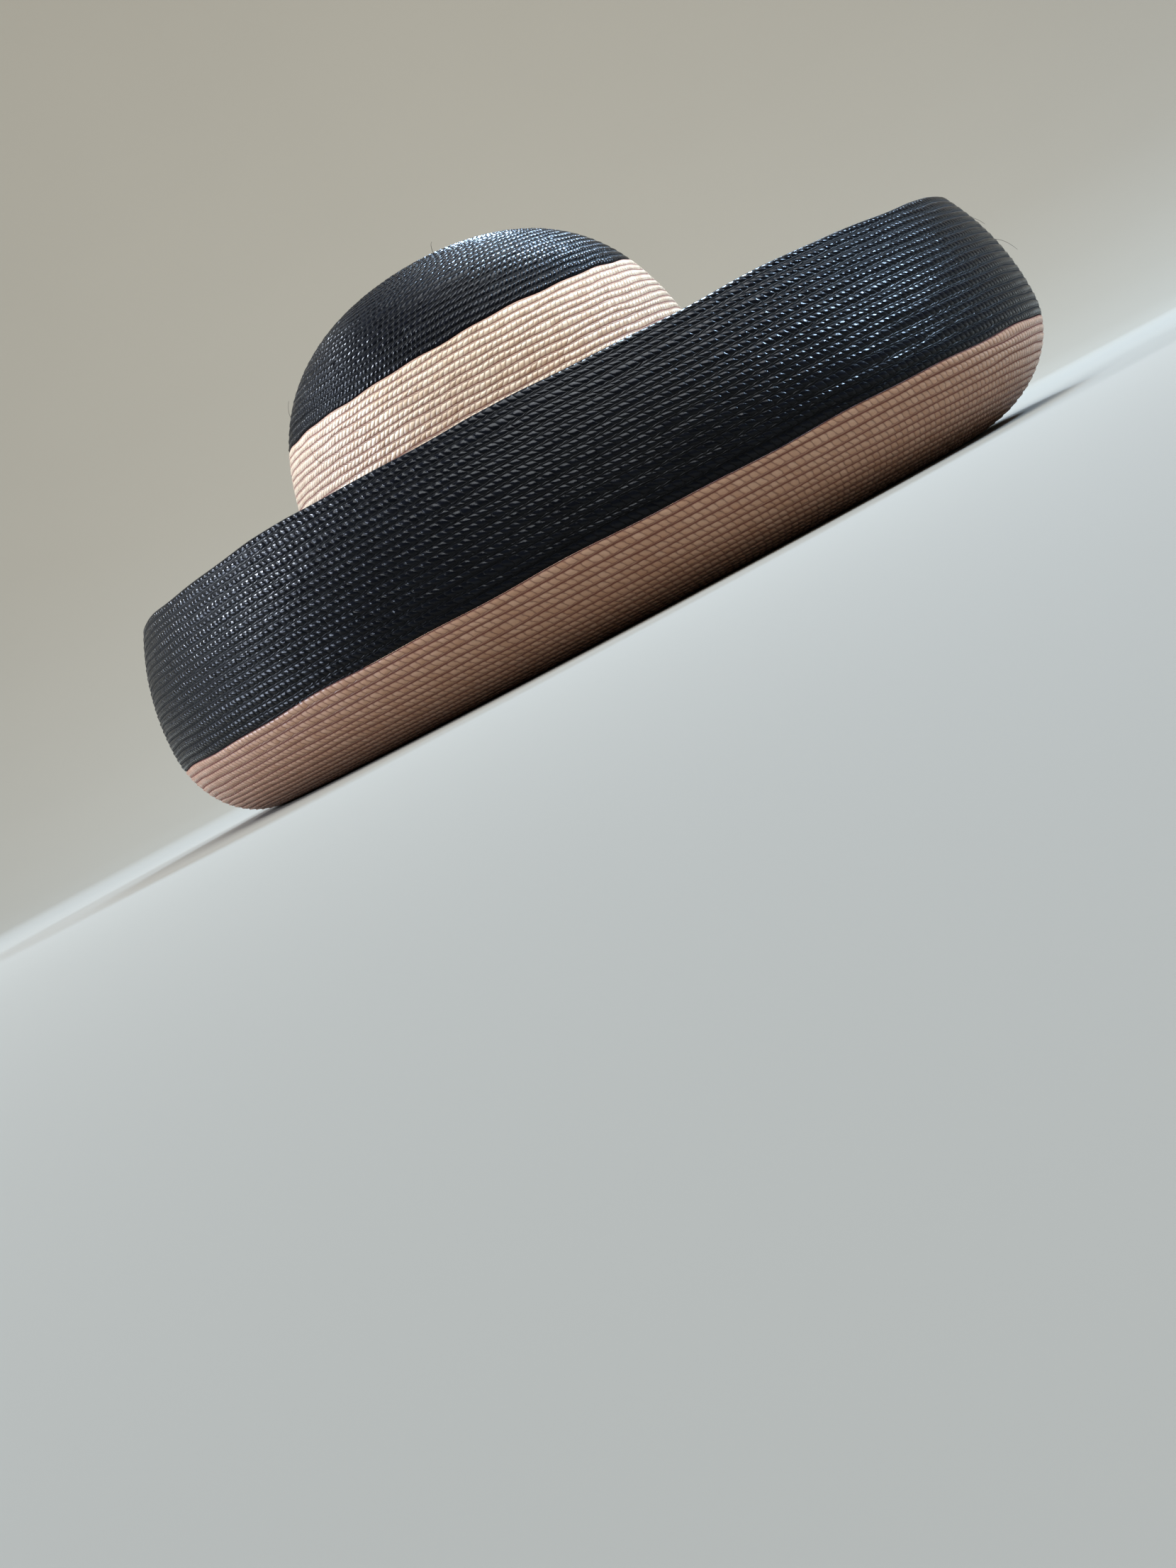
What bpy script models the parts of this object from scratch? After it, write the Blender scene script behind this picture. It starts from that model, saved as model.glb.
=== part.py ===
"""Wide-brim straw hat with its brim rolled up all round, standing on the lowest ring of the roll.

Units are metres, +Z is up, the front is -Y and the wearer's right is -X. The origin is on the floor, under
the middle of the brim. One profile gives the faces that look at the head, the floor and outwards: it falls
from the tip inside the crown to the head opening, slopes down under the brim to the level seat that the hat
stands on, and turns up outside the rolled wall to the rim. Each point of the profile is an oval ring, each
straw piece takes a stretch of the profile, and its wall grows to the other side.
"""
import bpy
import numpy as np

# Head opening, measured inside the sweatband
HEAD_LENGTH = 0.196
HEAD_WIDTH = 0.160

# Walls and the clearance between pieces
STRAW_WALL = 0.002
BAND_WALL = 0.001
GAP = 0.0003

# Crown: its height above the head opening, the share it narrows by, its dome's exponents, the black tip's drop
CROWN_HEIGHT = 0.142
CROWN_TAPER = 0.15
TAPER_BEND = 1.5
DOME_FULLNESS = 5.2
DOME_ROUNDNESS = 2.2
TIP_DROP = 0.041
SWEATBAND_HEIGHT = 0.030

# Brim: neck, slope, level seat, roll, leaning wall, black border, and how far the brim sits forward
NECK_RADIUS = 0.005
SLOPE_REACH = 0.059
SLOPE_ANGLE = np.radians(28.5)
SLOPE_BEND = 1.25
SEAT_WIDTH = 0.006
ROLL_REACH = 0.038
ROLL_RISE = 0.038
WALL_RISE = 0.051
RIM_LEAN = 0.0135
BORDER_DEPTH = 0.061
FRONT_SHIFT = 0.018
SHIFT_BEND = 1.4

# Fineness of the walls, and how strongly the crown's points gather at its tip
SEGMENTS = 60
CURVE_POINTS = 400
CROWN_POINTS = 1600
TIP_GATHER = 2.5
STEP_LENGTH = 0.020
STEP_TURN = np.radians(20)
END_STEP = 0.0006

# Colour, roughness and metallic value of each material
MATERIALS = {
    "black_straw": ((0.012, 0.013, 0.017), 0.35, 0.0),
    "natural_straw": ((0.56, 0.33, 0.22), 0.45, 0.0),
    "black_ribbon": ((0.010, 0.010, 0.012), 0.80, 0.0),
}

# Half axes of the oval at the head opening, on the inner face of the straw
OVAL_LONG = HEAD_LENGTH / 2 + BAND_WALL + GAP
OVAL_WIDE = HEAD_WIDTH / 2 + BAND_WALL + GAP

# Reach of the seat's two edges and of the widest ring, outwards from the head opening
SEAT_START = SLOPE_REACH
SEAT_END = SEAT_START + SEAT_WIDTH
WIDEST_REACH = SEAT_END + ROLL_REACH


def clear_scene():
    """Removes every object and material that the scene starts with."""
    for obj in list(bpy.data.objects):
        bpy.data.objects.remove(obj)
    for material in list(bpy.data.materials):
        bpy.data.materials.remove(material)


def make_material(name):
    """A Principled material with the colour, roughness and metallic value of the table."""
    colour, roughness, metallic = MATERIALS[name]
    material = bpy.data.materials.new(name)
    material.use_nodes = True
    shader = material.node_tree.nodes["Principled BSDF"]
    shader.inputs["Base Color"].default_value = (*colour, 1.0)
    shader.inputs["Roughness"].default_value = roughness
    shader.inputs["Metallic"].default_value = metallic
    material.diffuse_color = (*colour, 1.0)
    return material


def brim_curve():
    """The brim's profile from the head opening to the rim, as (reach, height) rows.

    A round neck turns from upright to the slope, the slope flattens into the level seat, a quarter of an
    ellipse turns up from the seat, and one long arc leans the wall in to the rim.
    """
    t = np.linspace(0, 1, CURVE_POINTS)[:, None]
    turn = t * (np.pi / 2 - SLOPE_ANGLE)
    run = SLOPE_REACH - NECK_RADIUS * (1 - np.sin(SLOPE_ANGLE))
    fall = run * np.tan(SLOPE_ANGLE) / SLOPE_BEND
    opening = fall + NECK_RADIUS * np.cos(SLOPE_ANGLE)
    neck = np.hstack([NECK_RADIUS * (1 - np.cos(turn)), opening - NECK_RADIUS * np.sin(turn)])
    slope = np.hstack([SLOPE_REACH - run * (1 - t), fall * (1 - t) ** SLOPE_BEND])
    seat = np.hstack([SEAT_START + SEAT_WIDTH * t, 0 * t])
    around = t * np.pi / 2
    roll = np.hstack([SEAT_END + ROLL_REACH * np.sin(around), ROLL_RISE * (1 - np.cos(around))])
    radius = (WALL_RISE**2 + RIM_LEAN**2) / (2 * RIM_LEAN)
    climb = t * WALL_RISE
    wall = np.hstack([WIDEST_REACH - radius + np.sqrt(radius**2 - climb**2), ROLL_RISE + climb])
    return np.vstack([neck, slope[1:], seat[1:], roll[1:], wall[1:]])


def brim_rings():
    """Rows of (half length, half width, centre y, height) from the head opening to the rim.

    The crown's oval sits back by the front shift, and the centre comes forward along the brim until the
    widest ring, whose centre is over the origin.
    """
    reach, height = brim_curve().T
    outward = np.maximum.accumulate(reach) / WIDEST_REACH
    centre = FRONT_SHIFT * (1 - outward**SHIFT_BEND)
    return np.stack([OVAL_LONG + reach, OVAL_WIDE + reach, centre, height], axis=1)


def crown_rings(opening):
    """Rows of (half length, half width, centre y, height) inside the crown, from the tip to the opening.

    At the share h of the height the oval has shrunk by its taper times h to the power of its bend, and the
    dome closes it with the root of one minus h to the power of its fullness.
    """
    h = 1 - np.linspace(0, 1, CROWN_POINTS) ** TIP_GATHER
    size = (1 - CROWN_TAPER * h**TAPER_BEND) * (1 - h**DOME_FULLNESS) ** (1 / DOME_ROUNDNESS)
    height = opening + (CROWN_HEIGHT - STRAW_WALL) * h
    centre = np.full_like(h, FRONT_SHIFT)
    return np.stack([OVAL_LONG * size, OVAL_WIDE * size, centre, height], axis=1)


def distances(rings):
    """Distance along the profile at the hat's side, from the first ring to each ring."""
    steps = np.diff(rings[:, [1, 3]], axis=0)
    return np.concatenate([[0], np.cumsum(np.hypot(*steps.T))])


def stretch(rings, stops):
    """The rings from the first stop to the last, distances along the profile, with each stop among them.

    Between stops they stand closer where the profile turns than where it runs straight.
    """
    distance = distances(rings)
    steps = np.diff(rings[:, [1, 3]], axis=0)
    heading = np.unwrap(np.arctan2(steps[:, 1], steps[:, 0]))
    turned = np.concatenate([[0], np.cumsum(np.abs(np.diff(heading)))])
    turned = np.append(turned, turned[-1])
    effort = distance / STEP_LENGTH + turned / STEP_TURN
    places = [[stops[0]]]
    for start, end in zip(stops[:-1], stops[1:]):
        first, last = np.interp([start, end], distance, effort)
        count = max(int(np.ceil(last - first)), 1)
        between = np.interp(np.linspace(first, last, count + 1), effort, distance)
        between[-1] = end
        places.append(between[1:])
    places = np.concatenate(places)
    return np.stack([np.interp(places, distance, column) for column in rings.T], axis=1)


def add_wall(name, rings, thickness, material, collection):
    """One wall: a loft through the oval rings, which Solidify thickens away from the head and the floor."""
    angle = np.linspace(0, 2 * np.pi, SEGMENTS, endpoint=False)
    half_length, half_width, centre, height = (column[:, None] for column in rings.T)
    x = half_width * np.sin(angle)
    y = centre - half_length * np.cos(angle)
    points = np.stack([x, y, height + 0 * x], axis=2).reshape(-1, 3)
    here = np.arange(SEGMENTS)
    beside = np.roll(here, -1)
    first_row = np.stack([here, beside, beside + SEGMENTS, here + SEGMENTS], axis=1)
    rows = [first_row + SEGMENTS * row for row in range(len(rings) - 1)]
    faces = np.concatenate(rows).tolist()
    if half_length[0, 0] < GAP:
        # The first ring is the tip, so it becomes one point with triangles round it
        points = points[SEGMENTS - 1 :]
        fan = np.stack([0 * here, beside + 1, here + 1], axis=1).tolist()
        faces = fan + [[corner - SEGMENTS + 1 for corner in face] for face in faces[SEGMENTS:]]
    mesh = bpy.data.meshes.new(name)
    mesh.from_pydata(points.tolist(), [], faces)
    mesh.materials.append(material)
    mesh.shade_smooth()
    wall = bpy.data.objects.new(name, mesh)
    collection.objects.link(wall)
    solidify = wall.modifiers.new("wall", "SOLIDIFY")
    solidify.thickness = thickness
    solidify.offset = -1
    solidify.use_even_offset = True


def main():
    clear_scene()
    collection = bpy.data.collections.new("wide_brim_straw_hat")
    bpy.context.scene.collection.children.link(collection)
    black, natural, ribbon = (make_material(name) for name in MATERIALS)

    brim = brim_rings()
    opening = brim[0, 3]
    crown = crown_rings(opening)
    rings = np.vstack([crown, brim[1:]])
    distance = distances(rings)
    head_opening = distance[len(crown) - 1]
    rim = distance[-1]
    border = rim - BORDER_DEPTH
    colour_change = np.interp(TIP_DROP, crown[0, 3] - crown[:, 3], distance[: len(crown)])
    rising = slice(len(crown), np.argmax(rings[:, 1]))
    seat = np.interp([SEAT_START, SEAT_END], rings[rising, 1] - OVAL_WIDE, distance[rising])

    # A short step before each seam squares the wall's edge to the profile, clear of the next piece
    tip = stretch(rings, [0, colour_change - END_STEP, colour_change])
    add_wall("crown_tip", tip, STRAW_WALL, black, collection)
    top = colour_change + GAP
    side = stretch(rings, [top, top + END_STEP, head_opening - END_STEP, head_opening])
    add_wall("crown_side", side, STRAW_WALL, natural, collection)
    start, end = head_opening + GAP, border - GAP
    under = stretch(rings, [start, start + END_STEP, *seat, end - END_STEP, end])
    add_wall("brim", under, STRAW_WALL, natural, collection)
    edge = stretch(rings, [border, border + END_STEP, rim])
    add_wall("brim_border", edge, STRAW_WALL, black, collection)

    # The sweatband stands inside the foot of the crown, clear of the straw
    band_top = np.interp(-SWEATBAND_HEIGHT, opening - crown[:, 3], distance[: len(crown)])
    inset = GAP + BAND_WALL
    band = stretch(rings, [band_top, head_opening]) - [inset, inset, 0, 0]
    add_wall("sweatband", band, BAND_WALL, ribbon, collection)


main()
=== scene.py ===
import bpy
import numpy as np
from bpy.props import FloatProperty, FloatVectorProperty, IntProperty, PointerProperty
from mathutils import Matrix, Vector


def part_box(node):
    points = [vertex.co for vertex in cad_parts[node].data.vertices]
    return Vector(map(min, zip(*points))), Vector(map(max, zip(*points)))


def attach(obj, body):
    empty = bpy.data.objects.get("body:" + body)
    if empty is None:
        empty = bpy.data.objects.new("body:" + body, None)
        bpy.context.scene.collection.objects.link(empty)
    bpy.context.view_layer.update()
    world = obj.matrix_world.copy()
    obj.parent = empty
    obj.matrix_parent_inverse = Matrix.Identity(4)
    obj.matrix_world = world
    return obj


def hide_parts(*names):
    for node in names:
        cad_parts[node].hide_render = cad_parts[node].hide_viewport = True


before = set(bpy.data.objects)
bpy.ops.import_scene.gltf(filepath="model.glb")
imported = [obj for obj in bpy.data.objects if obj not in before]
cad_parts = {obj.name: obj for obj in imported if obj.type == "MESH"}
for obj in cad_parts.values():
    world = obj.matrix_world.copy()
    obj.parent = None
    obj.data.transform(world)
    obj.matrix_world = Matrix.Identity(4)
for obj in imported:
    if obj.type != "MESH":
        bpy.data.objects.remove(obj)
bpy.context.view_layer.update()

bl_info = {
    "name": "Wide-Brim Straw Hat",
    "version": (1, 0, 0),
    "blender": (4, 5, 0),
    "location": "3D View > Sidebar > Straw Hat",
    "description": "Dresses the straw hat's walls in sewn rows of plaited straw and sets up its stage",
    "category": "Add Mesh",
}

# The hat's profile, with the sizes and point counts of its CAD source
HEAD_LENGTH = 0.196
HEAD_WIDTH = 0.160
STRAW_WALL = 0.002
BAND_WALL = 0.001
GAP = 0.0003
CROWN_HEIGHT = 0.142
CROWN_TAPER = 0.15
TAPER_BEND = 1.5
DOME_FULLNESS = 5.2
DOME_ROUNDNESS = 2.2
TIP_DROP = 0.041
NECK_RADIUS = 0.005
SLOPE_REACH = 0.059
SLOPE_ANGLE = np.radians(28.5)
SLOPE_BEND = 1.25
SEAT_WIDTH = 0.006
ROLL_REACH = 0.038
ROLL_RISE = 0.038
WALL_RISE = 0.051
RIM_LEAN = 0.0135
BORDER_DEPTH = 0.061
FRONT_SHIFT = 0.018
SHIFT_BEND = 1.4
CURVE_POINTS = 400
CROWN_POINTS = 1600
TIP_GATHER = 2.5
OVAL_LONG = HEAD_LENGTH / 2 + BAND_WALL + GAP
OVAL_WIDE = HEAD_WIDTH / 2 + BAND_WALL + GAP
SEAT_END = SLOPE_REACH + SEAT_WIDTH
WIDEST_REACH = SEAT_END + ROLL_REACH

# Points round the rows of the crown, of the slope under the brim, and of the wall that turns up from it
CROWN_SEGMENTS = 460
SLOPE_SEGMENTS = 640
WALL_SEGMENTS = 780

# Where the samples across a row stand, on the side that shows and on the side that doesn't
FINE_ROW = np.array([0, 0.2, 0.45, 0.75])
PLAIN_ROW = np.array([0, 0.6])

# Shares across a row where it is highest and where its beads stand, and the powers of its rise and its fall
RIDGE = 0.7
BEAD_PLACE = 0.2
RISE_POWER = 0.7
FALL_POWER = 0.5

# Height of the lowest bead, as a share of the highest one's
BEAD_LEAST = 0.55

# Waves in a groove: their counts round the hat, and the power of the count that their strength falls with
GROOVE_WAVES = np.arange(3, 40)
GROOVE_FADE = 0.7

# Waves round the hat as count, height in metres and phase: in a seam, and in the brim outward and upward
SEAM_WAVES = ((5, 0.00022, 1.0), (11, 0.00022, 0.0), (23, 0.00022, 2.0))
OUTWARD_WAVES = ((2, 0.0011, 0.6), (3, 0.0007, 2.0), (7, 0.00035, 1.0))
UPWARD_WAVES = ((1, -0.0022, 0.0), (3, 0.0007, -0.8), (5, 0.00045, 2.4), (11, 0.00025, 0.0))

# Steps that the face's normals are measured over: metres along it, and radians round it
STEP_ALONG = 0.0004
STEP_ROUND = 0.001

# How far the braid coordinate across a row keeps from the next row's number
ROW_MARGIN = 0.001

# Noise in the materials, in cells to the metre: for the way strands wander and the place where their two
# lines meet, for patches of tone in the straw, and for wear on the ribbon
STRAND_NOISE = 300.0
SPLIT_NOISE = 420.0
PATCH_NOISE = 22.0
WEAR_NOISE = 60.0

# Strands in the material: the share across a row where its two lines of them meet, the beads that one passes
# on its way across its line, and how far noise moves the strands along the row and the meeting across it
SPLIT = 0.22
SLANT = 0.65
STRAND_WANDER = 0.6
SPLIT_WANDER = 0.25

# A strand's relief: powers of its humps along the row and across it, height of the narrow line's strands,
# strength of the random tilt, and number and height of the fibres
HUMP_ALONG = 0.55
HUMP_ACROSS = 0.65
NARROW_HEIGHT = 0.6
TILT = 0.9
FIBRES = 7.0
FIBRE_HEIGHT = 0.1

# Share of a strand's tone that comes from wide patches; the rest is the strand's own
PATCHES = 0.45

# Shares across a row between which strands have their full tone; outside them painted shade darkens the
# grooves
EDGE_SHADE_SPANS = (0.26, 0.88)

# Heights of a strand over which its tone comes up from the painted shade in the gaps, and shares of its tone
# over which its roughness comes down from the gaps'
GAP_SHADE_HEIGHTS = (0.2, 0.6)
GAP_SHARES = (0.1, 0.7)

# How much rougher gaps are than strands, and how far strands differ in roughness
GAP_ROUGHNESS = 0.5
ROUGH_SPREAD = 0.12

# Finish of the straws: roughness, specular level, relief in metres, strength of the fibres' streaks, and the
# share of a strand's colour that is left between strands under their painted shade
BLACK_FINISH = (0.12, 0.13, 0.00038, 0.3, 0.1)
NATURAL_FINISH = (0.25, 0.42, 0.00032, 0.7, 0.45)

# Tones of the black straw's painted shade in its gaps, its dark strands and its light strands, as shares
# of its colour
BLACK_TONES = (0.12, 0.35, 1.0)

# What the natural straw's tones are multiplied by on the crown, and on the brim, which is redder in the photo
# because it lies in shade: the brim's darker, redder copy is painted shade and painted rosy reflected light
CROWN_SHADE = (1.0, 1.0, 1.0)
BRIM_PAINTED_SHADE = (0.79, 0.585, 0.54)

# Ribbon: points and ribs round it, lines down each side, and how much thinner it is between its hems
RIBBON_SEGMENTS = 320
RIBS = 560
RIBBON_LINES = 9
HEM = 0.00012

# Ribbon's material: scale of the noise that makes its cross threads, how much finer it is down the ribbon, the
# threads' height beside the ribs', the relief in metres, and what a worn tone is multiplied by and has added
THREAD_NOISE = 3.0
THREADS = 90.0
THREAD_HEIGHT = 0.3
RIB_RELIEF = 0.0002
WORN_TIMES = 2.2
WORN_PLUS = 0.006

# Stray straws: random seed, rings and sides of each, where they start along the crown, how far they stay from
# the rim and sink into the braid, and their lengths
STRAY_SEED = 5
STRAY_RINGS = 9
STRAY_SIDES = 5
STRAY_CROWN = (0.02, 0.12)
STRAY_RIM = 0.004
STRAY_SINK = 0.0006
STRAY_LENGTHS = (0.005, 0.011)

# How much less a stray straw stands out at its end, the power that it leans aside with, its radius, and the
# share of the radius that it loses towards its end
STRAY_DROOP = 0.45
STRAY_CURL = 1.6
STRAY_RADIUS = 0.00011
STRAY_TAPER = 0.6

# Floor: points round it, rings on the flat and in the bend, the radii of its middle, flat and bend, the
# height of its edge, and how far it lies under the hat
FLOOR_SEGMENTS = 96
FLAT_RINGS = 12
BEND_RINGS = 13
MIDDLE_RADIUS = 0.02
FLAT_RADIUS = 1.35
BEND_RADIUS = 1.5
EDGE_HEIGHT = 2.4
FLOOR_DROP = 0.0002

# Colour of the light from all round
SKY_COLOUR = (0.98, 0.98, 1.0, 1.0)

# Studio lights: name, place and aim, width and height, degrees of spread, colour. Place and aim are degrees
# to the right of the camera, degrees up and distance, as seen from the middle of the hat.
LIGHTS = (
    ("key", (40, 76, 1.5), (0, 0, 0), (1.7, 1.2), 180, (0.90, 0.95, 1.0)),
    ("window", (104, 38, 2.2), (0, 0, 0), (0.45, 0.32), 180, (0.52, 0.73, 1.0)),
    ("fill", (-92, 22, 1.6), (0, 0, 0), (0.8, 0.55), 180, (0.70, 0.80, 1.0)),
    ("glow", (-112, 42, 1.2), (0, 0, 0), (0.2, 0.15), 120, (0.80, 0.88, 1.0)),
    ("rim", (160, 46, 1.6), (0, 0, 0), (0.36, 0.24), 180, (0.52, 0.73, 1.0)),
    ("backdrop", (180, 60, 1.8), (180, 22, 2.7), (1.6, 1.0), 180, (1.0, 0.99, 0.93)),
)

# Camera: the photo's height and focal length in pixels, the width of its sensor in millimetres, its azimuth
# and distance, a height just above the floor, its roll, how far beside and below the middle of the hat it
# looks, the height of that middle, and its clipping distances
IMAGE_HEIGHT = 2212
FOCAL_PIXELS = 3030
SENSOR_WIDTH = 36.0
CAMERA_AZIMUTH = np.radians(-62)
CAMERA_DISTANCE = 0.90
CAMERA_HEIGHT = 0.014
CAMERA_ROLL = np.radians(28)
AIM_ALONG = -0.051
AIM_DROP = 0.115
LOOK_HEIGHT = 0.062
CLIPPING = (0.01, 50.0)


def brim_curve():
    """Brim's profile as (reach, height) rows: a round neck, a slope (1 - t) ** bend that flattens into the
    level seat, a quarter of an ellipse for the roll, and one long arc that leans the wall in to the rim."""
    t = np.linspace(0, 1, CURVE_POINTS)[:, None]
    turn = t * (np.pi / 2 - SLOPE_ANGLE)
    run = SLOPE_REACH - NECK_RADIUS * (1 - np.sin(SLOPE_ANGLE))
    fall = run * np.tan(SLOPE_ANGLE) / SLOPE_BEND
    opening = fall + NECK_RADIUS * np.cos(SLOPE_ANGLE)
    neck = np.hstack([NECK_RADIUS * (1 - np.cos(turn)), opening - NECK_RADIUS * np.sin(turn)])
    slope = np.hstack([SLOPE_REACH - run * (1 - t), fall * (1 - t) ** SLOPE_BEND])
    seat = np.hstack([SLOPE_REACH + SEAT_WIDTH * t, 0 * t])
    around = t * np.pi / 2
    roll = np.hstack([SEAT_END + ROLL_REACH * np.sin(around), ROLL_RISE * (1 - np.cos(around))])
    radius = (WALL_RISE**2 + RIM_LEAN**2) / (2 * RIM_LEAN)
    climb = t * WALL_RISE
    wall = np.hstack([WIDEST_REACH - radius + np.sqrt(radius**2 - climb**2), ROLL_RISE + climb])
    return np.vstack([neck, slope[1:], seat[1:], roll[1:], wall[1:]])


def hat_rings():
    """Rows of (half length, half width, centre y, height) from the tip inside the crown to the brim's rim,
    and the number of rows that belong to the crown. The crown's size at the share h of its height is
    (1 - taper * h ** bend) * (1 - h ** fullness) ** (1 / roundness)."""
    reach, height = brim_curve().T
    outward = np.maximum.accumulate(reach) / WIDEST_REACH
    centre = FRONT_SHIFT * (1 - outward**SHIFT_BEND)
    brim = np.stack([OVAL_LONG + reach, OVAL_WIDE + reach, centre, height], axis=1)
    h = 1 - np.linspace(0, 1, CROWN_POINTS) ** TIP_GATHER
    size = (1 - CROWN_TAPER * h**TAPER_BEND) * (1 - h**DOME_FULLNESS) ** (1 / DOME_ROUNDNESS)
    level = height[0] + (CROWN_HEIGHT - STRAW_WALL) * h
    crown = np.stack([OVAL_LONG * size, OVAL_WIDE * size, np.full_like(h, FRONT_SHIFT), level], axis=1)
    return np.vstack([crown, brim[1:]]), len(crown)


# The profile's rings, their distances along it from the crown's tip, and the distances where pieces meet
RINGS, CROWN_RINGS = hat_rings()
DISTANCE = np.concatenate([[0], np.cumsum(np.hypot(*np.diff(RINGS[:, [1, 3]], axis=0).T))])
RIM = DISTANCE[-1]
OPENING = DISTANCE[CROWN_RINGS - 1]
BORDER = RIM - BORDER_DEPTH
COLOUR_CHANGE = np.interp(TIP_DROP, RINGS[0, 3] - RINGS[:CROWN_RINGS, 3], DISTANCE[:CROWN_RINGS])

# The middle of the seat, looked up among the brim's rings before the widest one, because the reach rises there
RISING = slice(CROWN_RINGS, np.argmax(RINGS[:, 1]))
SEAT = np.interp(SLOPE_REACH + SEAT_WIDTH / 2, RINGS[RISING, 1] - OVAL_WIDE, DISTANCE[RISING])


def angles_round(count):
    """Equal steps round a full turn, in radians."""
    return np.arange(count) * 2 * np.pi / count


def waves(table, angle):
    """Sum over a table of height * cos(count * angle + phase)."""
    return sum(height * np.cos(count * angle + phase) for count, height, phase in table)


def brim_wander(distance, angle):
    """Outward and upward wander of the brim in metres: the sums of its waves, times the square of the share
    of the way from the seat to the rim."""
    share = np.clip((distance - SEAT) / (RIM - SEAT), 0, 1) ** 2
    return share * waves(OUTWARD_WAVES, angle), share * waves(UPWARD_WAVES, angle)


def hat_face(distance, angle):
    """Points of the face that looks at the head, the floor and outwards, as x = half width * sin(angle) and
    y = centre - half length * cos(angle), each moved by the brim's wander."""
    half_length, half_width, centre, height = (np.interp(distance, DISTANCE, column) for column in RINGS.T)
    outward, upward = brim_wander(distance, angle)
    x = (half_width + outward) * np.sin(angle)
    y = centre - (half_length + outward) * np.cos(angle)
    return np.stack([x, y, height + upward], axis=-1)


def hat_frame(distance, angle):
    """Points of the face and its unit normals, the cross product of the steps round and along the face."""
    along = hat_face(distance + STEP_ALONG, angle) - hat_face(distance - STEP_ALONG, angle)
    around = hat_face(distance, angle + STEP_ROUND) - hat_face(distance, angle - STEP_ROUND)
    normal = np.cross(around, along)
    length = np.linalg.norm(normal, axis=-1, keepdims=True)
    return hat_face(distance, angle), normal / np.maximum(length, 1e-12)


def bead_counts(start, end, rows, segments, bead_length):
    """Beads round each row. Each takes a whole number of segments, at least two, where that number divides
    the segments. Elsewhere their number is the row's length over the bead's, rounded. It is at least 3."""
    middle = start + (end - start) * (np.arange(rows) + 0.5) / rows
    half_length, half_width = (np.interp(middle, DISTANCE, column) for column in RINGS.T[:2])
    circumference = np.pi * (half_length + half_width)
    steps = np.clip(np.round(segments * bead_length / circumference), 2, None).astype(int)
    counts = np.where(segments % steps == 0, segments // steps, np.round(circumference / bead_length))
    return np.maximum(counts, 3).astype(int)


def braid_side(start, end, rows, angle, counts, fine, sizes, rng, wander):
    """Distance, depth, row number and share across of the lines of one side, from its start to its end.

    Rows overlap like shingles. With f the share across, a row's height is sin(pi / 2 * f / ridge) to the
    power of its rise, which stays 1 past the ridge, times sin(pi / 2 * (1 - f) / (1 - ridge)) to the power
    of its fall, which stays 1 before it. On the fine side its beads are 0.5 + 0.5 * cos(2 pi u) *
    cos(2 pi (f - place)), where u counts them round the row. Each pair of points has its own share of that.
    """
    across = FINE_ROW if fine else PLAIN_ROW
    row = np.append(np.repeat(np.arange(rows), len(across)), rows - 1)
    share = np.append(np.tile(across, rows), 1.0)
    f = share[:, None]
    wave = wander[row] * (1 - f) + wander[row + 1] * f
    distance = start + (end - start) * (row + share)[:, None] / rows + wave
    rise, fall = np.clip(f / RIDGE, 0, 1), np.clip((1 - f) / (1 - RIDGE), 0, 1)
    ridge = np.sin(rise * np.pi / 2) ** RISE_POWER * np.sin(fall * np.pi / 2) ** FALL_POWER
    bead = counts[row][:, None] * (np.arange(len(angle)) / len(angle)) + (row % 2)[:, None] * 0.5
    plait = 0.5 + 0.5 * np.cos(2 * np.pi * bead) * np.cos(2 * np.pi * (f - BEAD_PLACE))
    # Both sides draw their heights, and only the fine one uses them
    lift = rng.uniform(BEAD_LEAST, 1.0, (len(row), len(angle) // 2)).repeat(2, axis=1)
    beads = sizes.bead_depth * ridge * (1 - plait * lift) * fine
    return distance, sizes.row_depth * (1 - ridge) + beads, row, share


def braid_wall(name, start, end, row_width, bead_length, segments, inner_fine, edge_push=0.0):
    """One closed wall of sewn braid: the lines on the face's side, a line on the edge at its end, and the
    lines on the other side back to the start.

    A point on the face's side is the face minus its normal times the depth, and one on the other side is
    the face minus its normal times the wall less the depth. The edge's line is pushed on by edge_push.
    """
    sizes = bpy.context.scene.hat_braid
    rng = np.random.default_rng(sum(map(ord, name)))
    rows = round((end - start) / row_width)
    counts = bead_counts(start, end, rows, segments, bead_length)
    angle = angles_round(segments)
    strength = rng.normal(size=(rows + 1, len(GROOVE_WAVES))) / GROOVE_WAVES**GROOVE_FADE
    phase = rng.uniform(0, 2 * np.pi, (rows + 1, len(GROOVE_WAVES)))
    wave = np.cos(GROOVE_WAVES[None, :, None] * angle + phase[:, :, None])
    wander = np.einsum("rw,rwt->rt", strength, wave)
    wander *= sizes.row_wander / wander.std()
    # Both sides of a seam share one wave
    wander[[0, -1]] = waves(SEAM_WAVES, angle)
    sides = []
    for inner in (True, False):
        fine = inner == inner_fine
        distance, depth, row, share = braid_side(start, end, rows, angle, counts, fine, sizes, rng, wander)
        face, normal = hat_frame(distance, angle)
        inward = depth if inner else STRAW_WALL - depth
        sides.append((face - normal * inward[..., None], row, share))
    front, back = sides
    along = front[0][-1] - front[0][-2]
    push = edge_push * along / np.linalg.norm(along, axis=-1, keepdims=True)
    middle = (front[0][-1] + back[0][-1]) / 2 + push
    edge = (middle[None], [rows - 1], [1.0])
    # At the crown's tip each side's first line is left out, and a fan closes the side
    pole = int(start == 0)
    lines, row, share = (
        np.concatenate([near[pole:], between, far[pole:][::-1]])
        for near, between, far in zip(front, edge, back)
    )
    corner = len(front[0]) - pole - 1
    corners = [corner, corner + 2] + ([] if pole else [0, len(lines) - 1])
    return closed_mesh(name, lines, row, share, counts, corners, pole)


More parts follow.
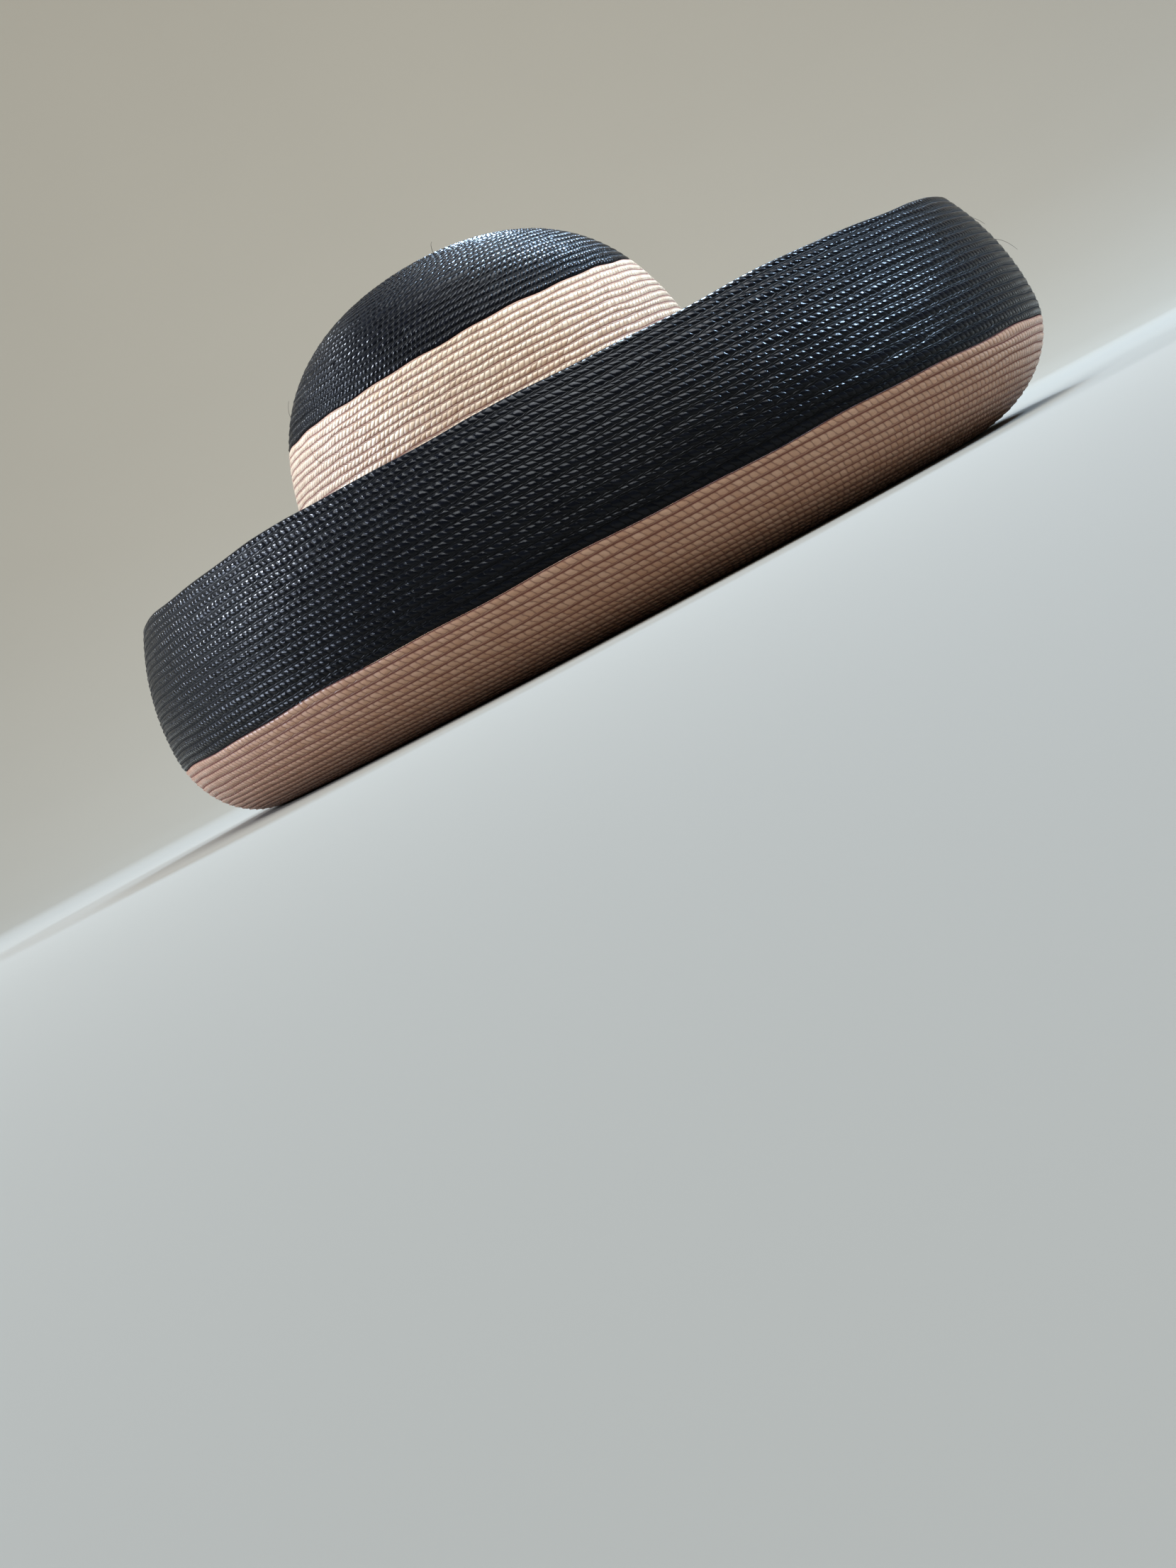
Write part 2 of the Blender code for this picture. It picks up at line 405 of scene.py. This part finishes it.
def quads_between(lower, upper):
    """Quads between lines of point numbers and the lines beside them, each line closed on itself."""
    lower_next, upper_next = np.roll(lower, -1, axis=-1), np.roll(upper, -1, axis=-1)
    return np.stack([lower, lower_next, upper_next, upper], axis=-1).reshape(-1, 4)


def add_object(name, data):
    """An object with its data, linked to the scene."""
    added = bpy.data.objects.new(name, data)
    bpy.context.scene.collection.objects.link(added)
    return added


def add_mesh(name, points, faces):
    """A mesh object of points and faces, smooth all over."""
    mesh = bpy.data.meshes.new(name)
    mesh.from_pydata(points.reshape(-1, 3).tolist(), [], faces)
    mesh.shade_smooth()
    return add_object(name, mesh)


def closed_mesh(name, lines, row, share, counts, corners, pole=0):
    """A mesh of closed lines: quads between neighbouring lines, and with a pole a fan at each end instead of
    quads from the last line to the first. Corners are the numbers of the lines at the wall's ends.

    The braid coordinates are the bead's number round the row and the row's number plus the share across.
    """
    count, segments = lines.shape[:2]
    here = np.arange(segments)
    first = np.arange(count - pole)
    second = (first + 1) % count
    quads = quads_between(first[:, None] * segments + here, second[:, None] * segments + here)
    # A face between two rows' lines belongs to the lower row
    band = np.minimum(row[first], row[second])
    place = row + share
    height = np.clip(np.stack([place[first], place[second]]) - band, ROW_MARGIN, 1 - ROW_MARGIN) + band
    turn = counts[band][:, None] * (np.append(here, segments) / segments) + (band % 2)[:, None] * 0.5
    u = np.stack([turn[:, :-1], turn[:, 1:], turn[:, 1:], turn[:, :-1]], axis=-1)
    v = height[[0, 0, 1, 1]].T[:, None]
    uvs = np.stack([u, np.broadcast_to(v, u.shape)], axis=-1).reshape(-1, 2)
    points, faces = lines.reshape(-1, 3), quads.tolist()
    if pole:
        tip, beside, last = len(points) + 0 * here, np.roll(here, -1), (count - 1) * segments
        fans = np.array([[tip, beside, here], [tip + 1, last + here, last + beside]])
        faces += fans.transpose(0, 2, 1).reshape(-1, 3).tolist()
        points = np.concatenate([points, lines[[0, -1]].mean(axis=1)])
        u = np.stack([0 * here + 0.5, turn[0, 1:], turn[0, :-1]], axis=-1)
        v = np.broadcast_to([ROW_MARGIN, share[0], share[0]], u.shape)
        fan = np.stack([u, v], axis=-1).reshape(-1, 2)
        uvs = np.concatenate([uvs, fan, fan])
    piece = add_mesh(name, points, faces)
    layer = piece.data.uv_layers.new(name="braid")
    layer.uv.foreach_set("vector", uvs.astype(np.float32).ravel())
    # The corners of the wall's ends are sharp, so that a seam shades like any other groove
    ends = np.empty(len(piece.data.edges) * 2, dtype=np.int32)
    piece.data.edges.foreach_get("vertices", ends)
    line = ends.reshape(-1, 2) // segments
    sharp = (line[:, 0] == line[:, 1]) & np.isin(line[:, 0], corners)
    piece.data.attributes.new("sharp_edge", "BOOLEAN", "EDGE").data.foreach_set("value", sharp)
    return piece


class Graph:
    """Short calls that add nodes to a material and link them."""

    def __init__(self, name):
        self.material = bpy.data.materials.new(name)
        self.material.use_nodes = True
        self.nodes = self.material.node_tree.nodes
        self.links = self.material.node_tree.links
        self.shader = self.nodes["Principled BSDF"]

    def add(self, kind, inputs=(), **settings):
        """A node with its settings, and with its inputs given as pairs of a name or number and a value."""
        node = self.nodes.new(kind)
        for key, value in settings.items():
            setattr(node, key, value)
        for key, value in dict(inputs).items():
            self.plug(node.inputs[key], value)
        return node

    def plug(self, socket, value):
        """Links a socket to an input, or sets the input to a value."""
        if isinstance(value, bpy.types.NodeSocket):
            self.links.new(value, socket)
        else:
            socket.default_value = value

    def math(self, operation, *values):
        """The result of a Math node."""
        return self.add("ShaderNodeMath", enumerate(values), operation=operation).outputs[0]

    def sway(self, value, reach, middle):
        """A middle value moved by how far another is from a half, times a reach."""
        return self.math("MULTIPLY_ADD", self.math("SUBTRACT", value, 0.5), reach, middle)

    def mix(self, share, low, high):
        """A colour between two colours."""
        node = self.add("ShaderNodeMix", data_type="RGBA", clamp_result=True)
        for socket, value in zip((node.inputs[0], node.inputs[6], node.inputs[7]), (share, low, high)):
            self.plug(socket, (*value, 1.0) if isinstance(value, tuple) else value)
        return node.outputs[2]

    def span(self, value, low, high, to_low=0.0, to_high=1.0):
        """A value carried from one range to another, clamped."""
        pairs = enumerate((value, low, high, to_low, to_high))
        return self.add("ShaderNodeMapRange", pairs, clamp=True).outputs[0]

    def noise(self, vector, scale, detail=2.0, roughness=0.5):
        """Noise from 0 to 1, its scale in cells to the unit."""
        pairs = {"Vector": vector, "Scale": scale, "Detail": detail, "Roughness": roughness}
        return self.add("ShaderNodeTexNoise", pairs).outputs["Fac"]

    def vector(self, x, y, z):
        """A vector of three values."""
        return self.add("ShaderNodeCombineXYZ", enumerate((x, y, z))).outputs[0]

    def split(self, vector):
        """The three values of a vector or colour."""
        return self.add("ShaderNodeSeparateXYZ", {0: vector}).outputs

    def braid(self):
        """Object coordinates, and the bead count and row number with the share across it."""
        place = self.add("ShaderNodeTexCoord").outputs["Object"]
        beads, rows, _ = self.split(self.add("ShaderNodeUVMap", uv_map="braid").outputs[0])
        return place, beads, rows

    def bump(self, height, distance, strength=1.0):
        """Relief of the shader's surface."""
        pairs = {"Strength": strength, "Distance": distance, "Height": height}
        self.plug(self.shader.inputs["Normal"], self.add("ShaderNodeBump", pairs).outputs[0])


def straw_material(name, tones, finish):
    """Glossy plaited straw: each row shows a wide and a narrow line of strands that lean opposite ways.

    With the bead count u and the share f across the row, the wide line has s = (f - split) / (1 - split)
    and strands numbered by a = u + slant * s, and the narrow one has s = f / split and a = u + 0.5 - s. A
    strand's height is a power of sin(pi a) times a power of sin(pi s), tilted at random both ways. The tones
    are those of the painted shade in the gaps and grooves, the dark strands and the light ones.
    """
    gap_shade_tone, dark, light = (tuple(tone) for tone in tones)
    roughness, gloss, relief, streak, crossing = finish
    g = Graph(name)
    place, beads, rows = g.braid()
    row, f = g.math("FLOOR", rows), g.math("FRACT", rows)
    u = g.sway(g.noise(place, STRAND_NOISE), STRAND_WANDER, beads)
    seam = g.sway(g.noise(place, SPLIT_NOISE), SPLIT_WANDER, SPLIT)
    wide = g.math("GREATER_THAN", f, seam)
    upper = g.math("DIVIDE", g.math("SUBTRACT", f, seam), g.math("SUBTRACT", 1.0, seam))
    share = g.add("ShaderNodeMix", {0: wide, 2: g.math("DIVIDE", f, seam), 3: upper}).outputs[0]
    lower_count = g.math("SUBTRACT", g.math("ADD", u, 0.5), share)
    upper_count = g.math("MULTIPLY_ADD", share, SLANT, u)
    a = g.add("ShaderNodeMix", {0: wide, 2: lower_count, 3: upper_count}).outputs[0]
    part, whole = g.math("FRACT", a), g.math("FLOOR", a)
    dice = g.add("ShaderNodeTexWhiteNoise", {"Vector": g.vector(whole, wide, row)}).outputs
    own_tone, (tilt_along, tilt_across, own_rough) = dice["Value"], g.split(dice["Color"])

    def hump(value, power):
        """A power of sin(pi * value)."""
        return g.math("POWER", g.math("SINE", g.math("MULTIPLY", value, np.pi)), power)

    # Across its line a strand starts and ends a little above nothing
    across = g.span(share, 0, 1, 0.04, 0.98)
    strand = g.math("MULTIPLY", hump(part, HUMP_ALONG), hump(across, HUMP_ACROSS))
    lift = g.math("MULTIPLY", strand, g.span(wide, 0, 1, NARROW_HEIGHT, 1.0))
    for line, tilt in ((part, tilt_along), (share, tilt_across)):
        lean = g.math("MULTIPLY", g.math("SUBTRACT", line, 0.5), g.math("SUBTRACT", tilt, 0.5))
        lift = g.math("MULTIPLY_ADD", lean, TILT, lift)
    # Fine fibres run along each strand
    fibres = g.noise(g.vector(g.math("MULTIPLY", a, FIBRES), share, row), 1.0, detail=3.0, roughness=0.6)
    g.bump(g.math("MULTIPLY_ADD", fibres, FIBRE_HEIGHT, lift), relief)

    # Colour: each strand has its own tone, and painted shade darkens the gaps between strands
    # and the grooves between rows
    patches = g.noise(place, PATCH_NOISE, detail=3.0)
    tone = g.math("MULTIPLY_ADD", patches, PATCHES, g.math("MULTIPLY", own_tone, 1 - PATCHES))
    colour = g.mix(g.sway(fibres, streak, tone), dark, light)
    # Painted shade in the grooves and gaps: its mask falls to nothing at each row's edges and where strands
    # are low
    edge = g.math("MULTIPLY", g.span(f, 0.0, EDGE_SHADE_SPANS[0]), g.span(f, 1.0, EDGE_SHADE_SPANS[1]))
    gap_shade_mask = g.math("MULTIPLY", g.span(strand, *GAP_SHADE_HEIGHTS, crossing, 1.0), edge)
    g.plug(g.shader.inputs["Base Color"], g.mix(gap_shade_mask, gap_shade_tone, colour))
    # The gaps are rougher than the strands, whose roughness differs a little
    rough = g.math("MULTIPLY_ADD", own_rough, ROUGH_SPREAD, roughness)
    more = g.span(gap_shade_mask, *GAP_SHARES, GAP_ROUGHNESS, 0.0)
    g.plug(g.shader.inputs["Roughness"], g.math("ADD", rough, more))
    g.shader.inputs["Specular IOR Level"].default_value = gloss
    return g.material


def ribbon_material(name, colour):
    """Matt ribbed ribbon: upright ribs, fine cross threads and slightly uneven black."""
    g = Graph(name)
    place, ribs, across = g.braid()
    rib = g.math("ABSOLUTE", g.math("SINE", g.math("MULTIPLY", ribs, np.pi)))
    thread = g.noise(g.vector(ribs, g.math("MULTIPLY", across, THREADS), 0.0), THREAD_NOISE)
    g.bump(g.math("MULTIPLY_ADD", thread, THREAD_HEIGHT, rib), RIB_RELIEF, strength=0.8)
    worn = tuple(min(1.0, channel * WORN_TIMES + WORN_PLUS) for channel in colour)
    tone = g.math("MULTIPLY", g.noise(place, WEAR_NOISE), g.span(rib, 0, 1, 0.5, 1.0))
    g.plug(g.shader.inputs["Base Color"], g.mix(tone, colour, worn))
    g.plug(g.shader.inputs["Roughness"], g.span(thread, 0.2, 0.8, 0.72, 0.9))
    g.shader.inputs["Sheen Weight"].default_value = 0.25
    return g.material


def floor_material(name, colour):
    """Plain pale painted board with the faintest mottling."""
    g = Graph(name)
    place = g.add("ShaderNodeTexCoord").outputs["Object"]
    shade = tuple(channel * 0.97 for channel in colour)
    g.plug(g.shader.inputs["Base Color"], g.mix(g.noise(place, 3.0), shade, colour))
    g.shader.inputs["Roughness"].default_value = 0.85
    g.shader.inputs["Specular IOR Level"].default_value = 0.1
    return g.material


class HatBraid(bpy.types.PropertyGroup):
    """Sizes of the plaited straw and its sewn rows."""

    row_width: FloatProperty(
        name="Row Width", description="Width of one sewn row of braid", default=0.00325, unit="LENGTH")
    row_depth: FloatProperty(
        name="Row Depth", description="Depth of the groove between two rows", default=0.00048, unit="LENGTH")
    row_wander: FloatProperty(
        name="Row Wander", description="How far a groove strays from its ring", default=0.00024,
        unit="LENGTH")
    bead_length: FloatProperty(
        name="Bead Length", description="Distance between two crossings along a row", default=0.0030,
        unit="LENGTH")
    crown_row_width: FloatProperty(
        name="Crown Row Width", description="Width of one sewn row on the crown", default=0.0030,
        unit="LENGTH")
    crown_bead_length: FloatProperty(
        name="Crown Bead Length", description="Distance between two crossings on the crown", default=0.0024,
        unit="LENGTH")
    bead_depth: FloatProperty(
        name="Bead Depth", description="Depth between two crossings", default=0.00028, unit="LENGTH")
    stray_straws: IntProperty(
        name="Stray Straws", description="Loose ends that stand off the rows", default=9, subtype="UNSIGNED")


class HatColours(bpy.types.PropertyGroup):
    """Colours of the straw, the ribbon and the floor."""

    black: FloatVectorProperty(
        name="Black Straw", description="Lightest tone of the black straw", default=(0.007, 0.008, 0.012),
        subtype="COLOR")
    natural: FloatVectorProperty(
        name="Natural Straw", description="Lightest tone of the natural straw", default=(0.95, 0.80, 0.60),
        subtype="COLOR")
    tan: FloatVectorProperty(
        name="Tan Straw", description="Darkest tone of the natural straw", default=(0.70, 0.50, 0.33),
        subtype="COLOR")
    # The gaps' tone is painted shade between the natural strands and in the grooves between rows
    shade: FloatVectorProperty(
        name="Straw Gap Shade", description="Tone between the natural strands", default=(0.27, 0.10, 0.075),
        subtype="COLOR")
    ribbon: FloatVectorProperty(
        name="Ribbon", description="Black of the sweatband", default=(0.010, 0.010, 0.012), subtype="COLOR")
    floor: FloatVectorProperty(
        name="Floor", description="Pale floor and backdrop", default=(0.245, 0.228, 0.194), subtype="COLOR")


class HatStage(bpy.types.PropertyGroup):
    """Strengths of the studio lights."""

    sky: FloatProperty(name="Sky", description="Strength of the light from all round", default=0.10)
    key: FloatProperty(name="Key", description="Power of the light from the upper right", default=49.0,
                       unit="POWER")
    window: FloatProperty(name="Window", description="Power of the cool light from the right", default=56.0,
                          unit="POWER")
    backdrop: FloatProperty(name="Backdrop", description="Power of the light on the backdrop", default=52.0,
                            unit="POWER")
    rim: FloatProperty(name="Rim", description="Power of the light from behind", default=27.0, unit="POWER")
    glow: FloatProperty(name="Glow", description="Power of the small light on the left", default=3.0,
                        unit="POWER")
    fill: FloatProperty(name="Fill", description="Power of the soft light on the left", default=19.0,
                        unit="POWER")


def dress(piece, node, material):
    """Gives a piece its material and its place in the model."""
    piece.data.materials.append(material)
    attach(piece, "root")
    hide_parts(node)


def straw_once(name, tones, finish):
    """A straw material, made the first time that its name is asked for."""
    return bpy.data.materials.get(name) or straw_material(name, tones, finish)


def black_straw():
    """The black straw's material, whose three tones are shares of one colour."""
    black = np.array(bpy.context.scene.hat_colours.black)
    return straw_once("glossy_black_straw", [black * share for share in BLACK_TONES], BLACK_FINISH)


def natural_straw(name, shade):
    """Natural straw, its tones times a shade, which on the brim is painted shade and rosy reflected light."""
    colours = bpy.context.scene.hat_colours
    # The first tone is painted shade in the gaps; on the brim the factor adds painted shade and reflected
    # light
    tones = [np.multiply(tone, shade) for tone in (colours.shade, colours.tan, colours.natural)]
    return straw_once(name, tones, NATURAL_FINISH)


class HAT_OT_crown(bpy.types.Operator):
    """Makes the crown's natural side and its black tip."""

    bl_idname = "hat.crown"
    bl_label = "Crown"

    def execute(self, context):
        sizes = context.scene.hat_braid
        row, bead = sizes.crown_row_width, sizes.crown_bead_length
        tip = braid_wall("crown_tip_braid", 0, COLOUR_CHANGE, row, bead, CROWN_SEGMENTS, False)
        dress(tip, "crown_tip", black_straw())
        start = COLOUR_CHANGE + GAP
        side = braid_wall("crown_side_braid", start, OPENING, row, bead, CROWN_SEGMENTS, False)
        dress(side, "crown_side", natural_straw("natural_crown_straw", CROWN_SHADE))
        return {"FINISHED"}


class HAT_OT_brim(bpy.types.Operator):
    """Makes the brim's slope, its rolled wall and the black border."""

    bl_idname = "hat.brim"
    bl_label = "Brim"

    def execute(self, context):
        sizes = context.scene.hat_braid
        row, bead = sizes.row_width, sizes.bead_length
        # The brim's natural straw is a darker, redder copy: painted shade and painted rosy reflected light
        straw = natural_straw("natural_brim_straw", BRIM_PAINTED_SHADE)
        slope = braid_wall("brim_slope_braid", OPENING + GAP, SEAT, row, bead, SLOPE_SEGMENTS, True)
        dress(slope, "brim", straw)
        roll = braid_wall("brim_roll_braid", SEAT, BORDER - GAP, row, bead, WALL_SEGMENTS, True)
        dress(roll, "brim", straw)
        border = braid_wall("brim_border_braid", BORDER, RIM - GAP, row, bead, WALL_SEGMENTS, True, GAP)
        dress(border, "brim_border", black_straw())
        return {"FINISHED"}


class HAT_OT_sweatband(bpy.types.Operator):
    """Makes the ribbed ribbon inside the head opening."""

    bl_idname = "hat.sweatband"
    bl_label = "Sweatband"

    def execute(self, context):
        low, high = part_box("sweatband")
        levels = np.linspace(high.z, low.z, RIBBON_LINES)
        distance = np.interp(-levels, -RINGS[:CROWN_RINGS, 3], DISTANCE[:CROWN_RINGS])[:, None]
        face, normal = hat_frame(distance, angles_round(RIBBON_SEGMENTS))
        # The edges are hemmed, a little thicker than the middle
        share = np.linspace(0, 1, RIBBON_LINES)
        hem = HEM * np.sin(np.pi * share[:, None, None]) ** 0.5
        front, back = face + normal * (GAP + BAND_WALL - hem), face + normal * GAP
        lines, across = np.concatenate([front, back[::-1]]), np.concatenate([share, share[::-1]])
        row = np.zeros(2 * RIBBON_LINES, dtype=int)
        corners = [0, RIBBON_LINES - 1, RIBBON_LINES, 2 * RIBBON_LINES - 1]
        band = closed_mesh("sweatband_ribbon", lines, row, across, np.array([RIBS]), corners)
        ribbon = ribbon_material("black_ribbed_ribbon", tuple(context.scene.hat_colours.ribbon))
        dress(band, "sweatband", ribbon)
        return {"FINISHED"}


class HAT_OT_straws(bpy.types.Operator):
    """Makes the few loose straw ends that stand off the sewn rows."""

    bl_idname = "hat.straws"
    bl_label = "Stray Straws"

    def execute(self, context):
        count = context.scene.hat_braid.stray_straws
        rng = np.random.default_rng(STRAY_SEED)
        # Half of them stand on the crown's outer side, and half on the border's
        crown = np.arange(count) % 2 == 0
        on_crown, on_border = rng.uniform(*STRAY_CROWN, count), rng.uniform(BORDER, RIM - STRAY_RIM, count)
        angle = rng.uniform(0, 2 * np.pi, count)
        face, normal = hat_frame(np.where(crown, on_crown, on_border), angle)
        outward = np.where(crown[:, None], -normal, normal)
        root = face + outward * np.where(crown, STRAW_WALL - STRAY_SINK, -STRAY_SINK)[:, None]
        # At the share t of its length a straw is out by t * (1 - droop * t) and to the side by t ** curl
        t = np.linspace(0, 1, STRAY_RINGS)[None, :, None]
        lean = np.cross(outward, rng.normal(size=(count, 3)))
        lean /= np.linalg.norm(lean, axis=1, keepdims=True)
        length = rng.uniform(*STRAY_LENGTHS, count)[:, None, None]
        out, aside = outward[:, None] * t * (1 - STRAY_DROOP * t), lean[:, None] * t**STRAY_CURL
        centre = root[:, None] + length * (out + aside)
        radius = STRAY_RADIUS * (1 - STRAY_TAPER * t)
        side, turn = np.cross(lean, outward), angles_round(STRAY_SIDES)
        ring = side[:, None] * np.cos(turn)[None, :, None] + outward[:, None] * np.sin(turn)[None, :, None]
        points = centre[:, :, None] + radius[:, :, None] * ring[:, None]
        index = np.arange(count * STRAY_RINGS * STRAY_SIDES).reshape(count, STRAY_RINGS, STRAY_SIDES)
        ends = np.concatenate([index[:, 0, ::-1], index[:, -1]])
        faces = quads_between(index[:, :-1], index[:, 1:]).tolist() + ends.tolist()
        straws = add_mesh("stray_straws", points, faces)
        straws.data.uv_layers.new(name="braid")
        straws.data.materials.append(black_straw())
        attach(straws, "root")
        return {"FINISHED"}


def add_light(name, place, target, size, spread, power, colour):
    """An area light at a place, turned to a target."""
    data = bpy.data.lights.new(name, "AREA")
    data.shape, data.size, data.size_y = "RECTANGLE", *size
    data.energy, data.color, data.spread = power, colour, np.radians(spread)
    light = add_object(name, data)
    light.location = place
    light.rotation_euler = (Vector(target) - Vector(place)).to_track_quat("-Z", "Y").to_euler()


def direction(across, above):
    """Unit vector from the hat: degrees to the right of the camera's side, and degrees above the floor."""
    around, above = CAMERA_AZIMUTH + np.radians(across), np.radians(above)
    flat = np.cos(above)
    return Vector((np.sin(around) * flat, -np.cos(around) * flat, np.sin(above)))


class HAT_OT_stage(bpy.types.Operator):
    """Makes the pale floor with its round backdrop, the soft lights and the camera."""

    bl_idname = "hat.stage"
    bl_label = "Stage and Camera"

    def execute(self, context):
        scene = context.scene
        stage, colours = scene.hat_stage, scene.hat_colours
        # A flat disc that turns up all round and ends in a short upright edge: radius and height of its rings
        bend = np.linspace(0, np.pi / 2, BEND_RINGS)[1:]
        flat, edge = np.linspace(MIDDLE_RADIUS, FLAT_RADIUS, FLAT_RINGS), FLAT_RADIUS + BEND_RADIUS
        radius = np.concatenate([flat, FLAT_RADIUS + BEND_RADIUS * np.sin(bend), [edge]])[:, None]
        height = np.concatenate([0 * flat, BEND_RADIUS * (1 - np.cos(bend)), [EDGE_HEIGHT]])[:, None]
        turn = angles_round(FLOOR_SEGMENTS)
        level = height - FLOOR_DROP + 0 * turn
        points = np.stack([radius * np.cos(turn), radius * np.sin(turn), level], axis=-1)
        index = np.arange(len(radius) * FLOOR_SEGMENTS).reshape(len(radius), FLOOR_SEGMENTS)
        # The quads are turned over to face up, and one face closes the middle
        quads = quads_between(index[:-1], index[1:])[:, [0, 3, 2, 1]]
        floor = add_mesh("floor", points, quads.tolist() + index[:1].tolist())
        floor.data.materials.append(floor_material("pale_board", tuple(colours.floor)))

        world = bpy.data.worlds.new("soft_sky")
        world.use_nodes = True
        sky = world.node_tree.nodes["Background"]
        sky.inputs["Color"].default_value = SKY_COLOUR
        sky.inputs["Strength"].default_value = stage.sky
        scene.world = world
        scene.view_settings.view_transform = "Standard"

        toward, right, up = direction(0, 0), direction(90, 0), direction(0, 90)
        target = Vector((0, 0, LOOK_HEIGHT))
        for name, place, aim, size, spread, colour in LIGHTS:
            ends = [target + direction(*end[:2]) * end[2] for end in (place, aim)]
            add_light(name, *ends, size, spread, getattr(stage, name), colour)

        camera = scene.camera = add_object("camera", bpy.data.cameras.new("camera"))
        camera.data.sensor_width = SENSOR_WIDTH
        camera.data.lens = FOCAL_PIXELS * SENSOR_WIDTH / IMAGE_HEIGHT
        camera.location = toward * CAMERA_DISTANCE + up * CAMERA_HEIGHT
        aim = target + right * AIM_ALONG - up * AIM_DROP
        back = (camera.location - aim).normalized()
        image_up = right * np.sin(CAMERA_ROLL) + up * np.cos(CAMERA_ROLL)
        across = image_up.cross(back).normalized()
        turned = Matrix((across, back.cross(across), back)).transposed()
        camera.rotation_euler = turned.to_euler()
        camera.data.clip_start, camera.data.clip_end = CLIPPING
        return {"FINISHED"}


class HAT_PT_panel(bpy.types.Panel):
    """Lists the hat's pieces, sizes and colours."""

    bl_label = "Straw Hat"
    bl_idname = "HAT_PT_panel"
    bl_space_type = "VIEW_3D"
    bl_region_type = "UI"
    bl_category = "Straw Hat"

    def draw(self, context):
        for group in (getattr(context.scene, name) for name in GROUPS):
            box = self.layout.box()
            for name in group.__annotations__:
                box.prop(group, name)
        for operator in OPERATORS:
            self.layout.operator(operator.bl_idname)


GROUPS = {"hat_braid": HatBraid, "hat_colours": HatColours, "hat_stage": HatStage}
OPERATORS = (HAT_OT_crown, HAT_OT_brim, HAT_OT_sweatband, HAT_OT_straws, HAT_OT_stage)


def register():
    for kind in (*GROUPS.values(), *OPERATORS, HAT_PT_panel):
        bpy.utils.register_class(kind)
    for name, kind in GROUPS.items():
        setattr(bpy.types.Scene, name, PointerProperty(type=kind))


def unregister():
    for name in GROUPS:
        delattr(bpy.types.Scene, name)
    for kind in (HAT_PT_panel, *reversed(OPERATORS), *reversed(GROUPS.values())):
        bpy.utils.unregister_class(kind)


def main():
    register()
    bpy.ops.hat.crown()
    bpy.ops.hat.brim()
    bpy.ops.hat.sweatband()
    bpy.ops.hat.straws()
    bpy.ops.hat.stage()


if __name__ == "__main__":
    main()
